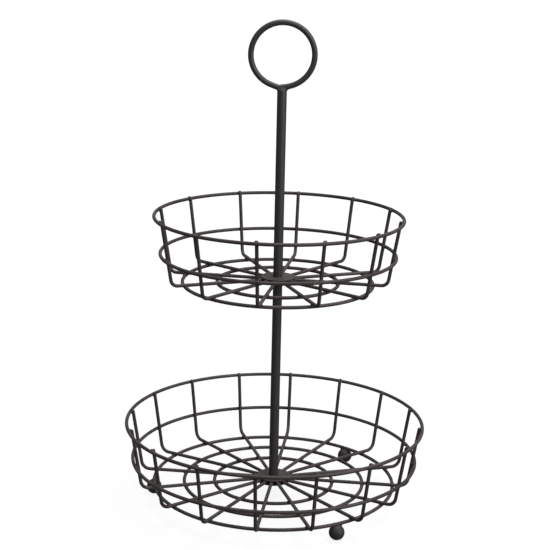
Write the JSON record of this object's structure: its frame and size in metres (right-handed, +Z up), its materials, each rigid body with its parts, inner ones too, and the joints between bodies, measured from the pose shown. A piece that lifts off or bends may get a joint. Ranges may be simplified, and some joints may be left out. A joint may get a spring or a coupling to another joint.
{
  "type": "tiered wire basket",
  "caption": "Tiered round wire baskets on a centre post with a ring handle and ball feet, for fruit or small goods on a table.",
  "frame": {"origin": "on the ground, on the axis of the post, below the middle of the lower basket", "axes": "+Z up along the post; the handle ring lies in the XZ plane, so -Y is the front"},
  "size_m": [0.2382, 0.2382, 0.38],
  "materials": {
    "powder_coat": "matte powder coat, warm near-black, fine orange-peel texture",
    "zinc_plate": "bright zinc-plated fastener steel"
  },
  "bodies": {
    "base": {"lower_rim_ring": "powder_coat", "lower_wall_ring": "powder_coat", "lower_floor_ring_outer": "powder_coat", "lower_floor_ring_middle": "powder_coat", "lower_floor_ring_inner": "powder_coat", "lower_rib_01": "powder_coat", "lower_rib_02": "powder_coat", "lower_rib_03": "powder_coat", "lower_rib_04": "powder_coat", "lower_rib_05": "powder_coat", "lower_rib_06": "powder_coat", "lower_rib_07": "powder_coat", "lower_rib_08": "powder_coat", "lower_rib_09": "powder_coat", "lower_rib_10": "powder_coat", "lower_rib_11": "powder_coat", "lower_rib_12": "powder_coat", "lower_rib_13": "powder_coat", "lower_rib_14": "powder_coat", "lower_rib_15": "powder_coat", "lower_rib_16": "powder_coat", "lower_hub_top_disc": "powder_coat", "lower_hub_bottom_disc": "powder_coat", "foot_ball_1": "powder_coat", "foot_ball_2": "powder_coat", "foot_ball_3": "powder_coat", "lower_rod": "powder_coat", "base_washer": "zinc_plate", "base_screw": "zinc_plate"},
    "upper_basket": {"upper_rim_ring": "powder_coat", "upper_wall_ring": "powder_coat", "upper_floor_ring_outer": "powder_coat", "upper_floor_ring_inner": "powder_coat", "upper_rib_01": "powder_coat", "upper_rib_02": "powder_coat", "upper_rib_03": "powder_coat", "upper_rib_04": "powder_coat", "upper_rib_05": "powder_coat", "upper_rib_06": "powder_coat", "upper_rib_07": "powder_coat", "upper_rib_08": "powder_coat", "upper_rib_09": "powder_coat", "upper_rib_10": "powder_coat", "upper_rib_11": "powder_coat", "upper_rib_12": "powder_coat", "upper_hub_top_disc": "powder_coat", "upper_hub_bottom_disc": "powder_coat"},
    "stud": {"joining_stud": "zinc_plate"},
    "handle": {"handle_rod": "powder_coat", "handle_ring": "powder_coat"}
  },
  "joints": [
    {"name": "upper_tier_turn", "type": "hinge", "parent": "base", "child": "upper_basket", "pos_m": [0, 0, 0.18038], "axis": [0, 0, 1], "continuous": true},
    {"name": "handle_unscrew", "type": "hinge", "parent": "base", "child": "stud", "pos_m": [0, 0, 0.18266], "axis": [0, 0, 1], "range_deg": [0, 4320]},
    {"name": "handle_rise", "type": "slide", "parent": "stud", "child": "handle", "axis": [0, 0, 1], "range_m": [0, 0.0084]}
  ],
  "couplings": [
    {"joint": "handle_unscrew", "follows": "handle_rise", "rad_per_m": 8976}
  ]
}
